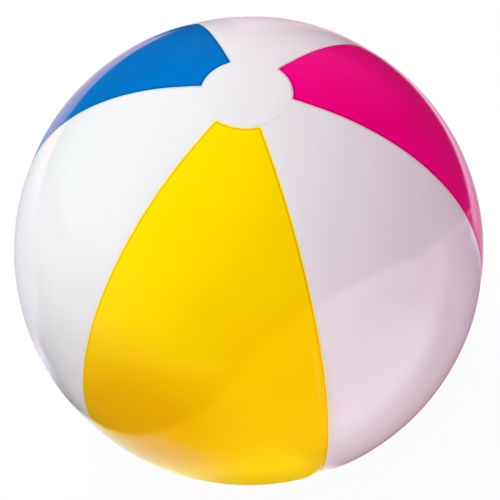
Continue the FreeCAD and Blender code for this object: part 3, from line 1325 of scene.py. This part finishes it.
    @staticmethod
    def _fuse(obj: Object, *others: Object) -> None:
        """Joins closed shells into one.

        Args:
            obj: the shell that stays.
            others: the shells that are added to it and removed.
        """
        for other in others:
            face_outwards(other)
            apply_modifier(obj, "BOOLEAN", operation="UNION", object=other, solver="EXACT")
            bpy.data.objects.remove(other)

    @staticmethod
    def _soften(obj: Object, grain: float) -> None:
        """Melts a fused shape into one moulding of a grain's size, with small soft fillets."""
        apply_modifier(obj, "REMESH", mode="VOXEL", voxel_size=grain, adaptivity=0.0)
        apply_modifier(obj, "SMOOTH", factor=0.5, iterations=3)

    def _arm(self, width: float, far: float, base: float) -> Object:
        """Makes a flat arm along Y, from the axis to a rounded end.

        Args:
            width: the arm's width.
            far: where its rounded end reaches, on either side of the axis.
            base: height of its lower face.

        Returns:
            The arm.
        """
        reach = far - math.copysign(width / 2, far)
        middle, thickness = base + self.arm_thickness / 2, self.arm_thickness
        rounding = {"vertices": 48, "radius": width / 2, "depth": thickness}
        end = new_primitive("arm_end", "cylinder", location=(0, reach, middle), **rounding)
        arm = new_block("arm", (width, abs(reach), thickness), (0, reach / 2, middle))
        self._fuse(arm, end)
        return arm

    def _plug(self) -> None:
        """Makes the stopper: tapered shank, dished head, strap arm and finger tab, in one moulding."""
        low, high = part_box("plug")
        tip, top, head = low.y, high.y, self.head
        under = top - self.head_height
        profile = [
            (0, tip),
            (self.shank_tip, tip),
            (self.shank_tip + 0.00045, tip + 0.0004),
            (self.shank_root, under),
            (head, under),
            (head, top - 0.0003),
            (head - 0.0003, top),
            (head - 0.0015, top),
            (head - 0.0021, top - 0.0005),
            (0, top - 0.0006),
        ]
        obj = lathe("valve_plug", profile, 96, closed=False)
        self._fuse(obj, self._arm(self.arm_width, high.z, under), self._arm(self.tab_width, low.z, under))
        self._soften(obj, self.plug_grain)
        self._turn(obj, 60)
        dress(obj, self.material, "plug", "valve_vinyl", "plug")

    def _strap(self) -> None:
        """Makes the strap that tethers the plug: a leg out of the stem and an upright to the arm."""
        low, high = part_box("plug_strap")
        thickness, width = self.strap_thickness, high.x - low.x
        leg = (width, high.z - low.z, thickness), (0, (high.z + low.z) / 2, low.y + thickness / 2)
        post = (width, thickness, high.y - low.y), (0, high.z - thickness / 2, (high.y + low.y) / 2)
        obj = new_block("valve_plug_strap", *leg)
        self._fuse(obj, new_block("upright", *post))
        self._soften(obj, self.strap_grain)
        self._turn(obj, 60)
        obj.data.materials.clear()
        obj.data.materials.append(self.material)
        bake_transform(obj)
        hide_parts("plug_strap")
        LOG.info("%s: %d faces, between stem and plug", obj.name, len(obj.data.polygons))


# ---------------------------------------------------------------- the studio


def direction(azimuth: float, elevation: float) -> Vector:
    """Returns the unit vector at an azimuth, from +X towards +Y, and an elevation, both in degrees."""
    around, above = math.radians(azimuth), math.radians(elevation)
    return Vector((math.cos(above) * math.cos(around), math.cos(above) * math.sin(around), math.sin(above)))


@dataclass(frozen=True)
class Softbox:
    """A round area lamp, given by the direction that it shines from. The film doesn't mirror it."""

    name: str
    azimuth: float
    elevation: float
    power: float
    colour: Colour = (1.0, 1.0, 1.0)
    distance: float = 2.2
    size: float = 1.6

    def build(self) -> None:
        """Hangs the lamp, turned to the ball."""
        towards = direction(self.azimuth, self.elevation)
        lamp = bpy.data.lights.new(self.name, "AREA")
        lamp.shape = "DISK"
        lamp.size = self.size
        lamp.energy = self.power
        lamp.color = self.colour
        obj = bpy.data.objects.new(self.name, lamp)
        obj.location = towards * self.distance
        obj.rotation_euler = towards.to_track_quat("Z", "Y").to_euler()
        obj.visible_glossy = False
        bpy.context.scene.collection.objects.link(obj)


@dataclass(frozen=True)
class Glow:
    """A soft round patch of the surroundings that the film mirrors."""

    azimuth: float
    elevation: float
    reach: float
    colour: Colour
    softness: float

    def mask(self, bench: Bench, place: Socket) -> Socket:
        """Masks the patch.

        Args:
            bench: the sky's bench.
            place: the direction that is looked in.

        Returns:
            A mask, 1 inside the patch.
        """
        along = bench.vector_maths("DOT_PRODUCT", place, direction(self.azimuth, self.elevation))
        edge = math.cos(math.radians(self.reach))
        return bench.remap(along, edge - self.softness, edge + self.softness)


class Limit(NamedTuple):
    """A straight soft edge on the floor: nothing before its start and everything past its end."""

    heading: float
    start: float
    end: float


@dataclass(frozen=True)
class Card:
    """A patch of the floor that the film mirrors: a round spot or the whole floor, cut by straight edges."""

    colour: Colour
    limits: tuple[Limit, ...]
    middle: Pair = (0.0, 0.0)
    radii: Pair | None = None

    def mask(self, bench: Bench, right: Socket, back: Socket) -> Socket | float:
        """Masks the patch.

        Args:
            bench: the floor's bench.
            right: how far a place lies to the right, as the camera sees it.
            back: how far a place lies behind the ball's axis.

        Returns:
            A mask, 1 inside the patch.
        """
        mask: Socket | float = 1.0
        if self.radii:
            inner, outer = self.radii
            squares = []
            for way, at in zip((right, back), self.middle):
                gap = bench.maths("SUBTRACT", way, at)
                squares.append(bench.maths("MULTIPLY", gap, gap))
            mask = bench.remap(bench.maths("SQRT", bench.maths("ADD", *squares)), outer, inner)
        for limit in self.limits:
            angle = math.radians(limit.heading)
            across = bench.maths("MULTIPLY", right, math.cos(angle))
            reach = bench.maths("MULTIPLY_ADD", back, math.sin(angle), across)
            mask = bench.maths("MULTIPLY", mask, bench.remap(reach, limit.start, limit.end))
        return mask


LEFT_EDGE = Limit(0.0, -0.198, -0.172)
FRONT = (LEFT_EDGE, Limit(-90.0, -0.27, -0.23))
UNDER = (LEFT_EDGE, Limit(-90.0, -0.05, 0.12))
RIM_RIGHT = (Limit(106.7, 0.0, 0.08),)
RIM_LEFT = (Limit(180.0, 0.13, 0.26),)
SPOT_RIGHT = (0.08, 0.20)
SPOT_LEFT = (-0.38, 0.45)
FLOOR_CARDS = (
    Card((0.50, 0.36, 0.42), (Limit(0.0, -0.12, -0.02), Limit(180.0, -0.25, -0.15), Limit(90.0, 0.3, 0.4))),
    Card((1.50, 1.30, 0.06), FRONT),
    Card((0.70, 0.50, 0.03), (*FRONT, Limit(0.0, -0.09, -0.03)), radii=(0.18, 0.26)),
    Card((0.85, 0.95, 1.00), (*FRONT, Limit(180.0, 0.0, 0.14), Limit(90.0, -0.34, -0.24))),
    Card((2.10, 1.95, 2.15), (*FRONT, Limit(28.4, -0.015, -0.003))),
    Card((1.50, 0.95, 1.20), (*FRONT, Limit(0.0, 0.3, 0.6), Limit(65.8, -0.05, 0.35))),
    Card((0.32, 0.14, 0.24), (*FRONT, Limit(106.7, -0.36, -0.10), Limit(0.0, 0.06, 0.11))),
    Card((0.20, 0.02, 0.05), (*UNDER, Limit(106.7, -0.44, -0.22), Limit(0.0, 0.06, 0.11))),
    Card((0.80, 0.80, 0.80), (Limit(180.0, 0.4, 1.2), Limit(-90.0, -0.6, -0.1))),
    Card((1.15, 1.08, 1.45), RIM_RIGHT, SPOT_RIGHT, (0.43, 0.45)),
    Card((0.55, 0.50, 0.62), (*RIM_RIGHT, Limit(-90.0, -0.50, -0.42)), SPOT_RIGHT, (0.28, 0.38)),
    Card((0.75, 0.36, 0.52), (Limit(0.0, 0.0, 0.05), Limit(90.0, 0.45, 0.58)), SPOT_RIGHT, (0.43, 0.45)),
    Card((1.05, 0.88, 0.95), RIM_LEFT, SPOT_LEFT, (0.43, 0.49)),
    Card((0.98, 0.62, 0.52), (*RIM_LEFT, Limit(90.0, 0.35, 0.50)), SPOT_LEFT, (0.34, 0.42)),
    Card((0.55, 0.53, 0.62), (*RIM_LEFT, Limit(-90.0, -0.50, -0.35)), SPOT_LEFT, (0.42, 0.50)),
)
SOFTBOXES = (
    Softbox("key_softbox", 156.0, 42.0, 16.5, (0.985, 1.03, 0.96)),
    Softbox("top_softbox", 168.0, 66.0, 28.4, (0.92, 1.0, 1.0)),
    Softbox("left_softbox", 219.0, 24.0, 14.3),
    Softbox("front_softbox", 318.0, 13.0, 26.0, (1.0, 0.77, 0.86)),
    Softbox("right_softbox", 74.0, 20.0, 18.5, (1.0, 0.43, 0.64)),
)
GLOWS = (
    Glow(208.0, 2.0, 42.0, (0.88, 0.88, 0.87), 0.30),
    Glow(95.0, 10.0, 16.0, (0.10, 0.10, 0.14), 0.12),
)


@dataclass
class Studio:
    """The floor, the lamps, the sky and the camera."""

    azimuth: float = 12.2
    elevation: float = 53.1
    roll: float = 0.83
    distance: float = 1.238
    lens: float = 103.25
    sensor: float = 36.0
    shift: Pair = (0.0024, 0.0010)
    fill: Colour = (0.13, 0.115, 0.13)
    dark: Colour = (0.02, 0.02, 0.03)
    sweep: Glow = Glow(-36.6, -30.0, 51.3, (2.00, 1.45, 1.70), 0.02)
    sweep_left: Colour = (1.50, 1.30, 0.06)
    sweep_turn: float = 29.5
    floor_size: float = 24.0
    paper: Colour = (0.82, 0.82, 0.82)
    shadow_reach: Pair = (0.18, 0.5)
    shadow_whiteness: float = 0.95

    def build(self) -> None:
        """Sets up the studio."""
        self._floor()
        self._world()
        self._camera()
        for softbox in SOFTBOXES:
            softbox.build()
        bpy.context.scene.view_settings.view_transform = "Standard"

    @staticmethod
    def _seen(bench: Bench, path: bpy.types.bpy_prop_collection) -> Socket:
        """Returns 1 for what the camera sees straight or through something clear."""
        return bench.maths("MAXIMUM", path["Is Camera Ray"], path["Is Transmission Ray"])

    def _floor(self) -> None:
        """Lays the plain pale floor, which looks white and keeps the ball's shadow."""
        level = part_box("bottom_disc")[0].z
        floor = new_primitive("studio_floor", "plane", size=self.floor_size, location=(0, 0, level))
        material, bench = new_material("floor_paper")
        path = bench.add("ShaderNodeLightPath").outputs
        place = bench.add("ShaderNodeTexCoord").outputs["Object"]
        whiteness = bench.remap(
            bench.vector_maths("LENGTH", place), *self.shadow_reach, self.shadow_whiteness, 1.0
        )
        paper = bench.add("ShaderNodeBsdfDiffuse", {"Color": (*self.paper, 1.0)}).outputs[0]
        white, mirror = bench.emission(WHITE_LIGHT), bench.emission(self._mirrored_floor(bench, place))
        share = bench.maths("MULTIPLY", self._seen(bench, path), whiteness)
        looked_at = bench.add("ShaderNodeMixShader", {0: share, 1: paper, 2: white}).outputs[0]
        whole = bench.add("ShaderNodeMixShader", {0: path["Is Glossy Ray"], 1: looked_at, 2: mirror})
        bench.add("ShaderNodeOutputMaterial", {"Surface": whole.outputs[0]})
        floor.data.materials.append(material)

    def _mirrored_floor(self, bench: Bench, place: Socket) -> Socket:
        """Lays out the floor as the film mirrors it: lit paper round the ball, its shadow and the dark.

        Args:
            bench: the floor's bench.
            place: the floor's own coordinates.

        Returns:
            A colour.
        """
        right = bench.vector_maths("DOT_PRODUCT", place, direction(self.azimuth, 0))
        back = bench.vector_maths("DOT_PRODUCT", place, direction(self.azimuth + 90, 0))
        colour: tuple[float, ...] | Socket = (*self.dark, 1.0)
        for card in FLOOR_CARDS:
            colour = bench.mix(card.mask(bench, right, back), colour, (*card.colour, 1.0))
        return colour

    def _world(self) -> None:
        """Makes the sky: a plain fill for the lighting, white where it is seen, soft glows in the gloss."""
        world = bpy.data.worlds.new("studio_sky")
        bpy.context.scene.world = world
        world.use_nodes = True
        bench = Bench(world.node_tree)
        path = bench.add("ShaderNodeLightPath").outputs
        place = bench.add("ShaderNodeTexCoord").outputs["Generated"]
        mirrored = (*self.dark, 1.0)
        for glow in GLOWS:
            mirrored = bench.mix(glow.mask(bench, place), mirrored, (*glow.colour, 1.0), "ADD")
        beside = bench.vector_maths("DOT_PRODUCT", place, direction(self.azimuth + self.sweep_turn, 0))
        on_right = bench.remap(beside, -0.01, 0.01)
        sweep = bench.mix(on_right, (*self.sweep_left, 1.0), (*self.sweep.colour, 1.0))
        mirrored = bench.mix(self.sweep.mask(bench, place), mirrored, sweep, "ADD")
        lit = bench.mix(path["Is Glossy Ray"], (*self.fill, 1.0), mirrored)
        colour = bench.mix(self._seen(bench, path), lit, WHITE_LIGHT)
        background = bench.add("ShaderNodeBackground", {"Color": colour, "Strength": 1.0})
        bench.add("ShaderNodeOutputWorld", {"Surface": background.outputs[0]})

    def _camera(self) -> None:
        """Places the camera, which looks down on the ball from the front."""
        back, right = direction(self.azimuth - 90, self.elevation), direction(self.azimuth, 0)
        up = back.cross(right)
        cosine, sine = math.cos(math.radians(self.roll)), math.sin(math.radians(self.roll))
        right, up = right * cosine - up * sine, right * sine + up * cosine
        data = bpy.data.cameras.new("camera")
        data.lens = self.lens
        data.sensor_width = self.sensor
        data.shift_x, data.shift_y = self.shift
        camera = bpy.data.objects.new("camera", data)
        rows = zip(right, up, back, back * self.distance)
        camera.matrix_world = Matrix((*rows, (0.0, 0.0, 0.0, 1.0)))
        bpy.context.scene.collection.objects.link(camera)
        bpy.context.scene.camera = camera


def main() -> None:
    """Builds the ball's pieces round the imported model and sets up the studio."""
    logging.basicConfig(level=logging.INFO, format="%(name)s: %(message)s")
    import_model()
    ball = BallMeasures.from_frame()
    effects = Effects()
    materials = {finish.name: finish.material(effects) for finish in (YELLOW, PINK, BLUE, WHITE, VALVE)}
    Envelope(ball, materials).build()
    Valve(ball, materials[VALVE.name]).build()
    Studio().build()


if __name__ == "__main__":
    main()
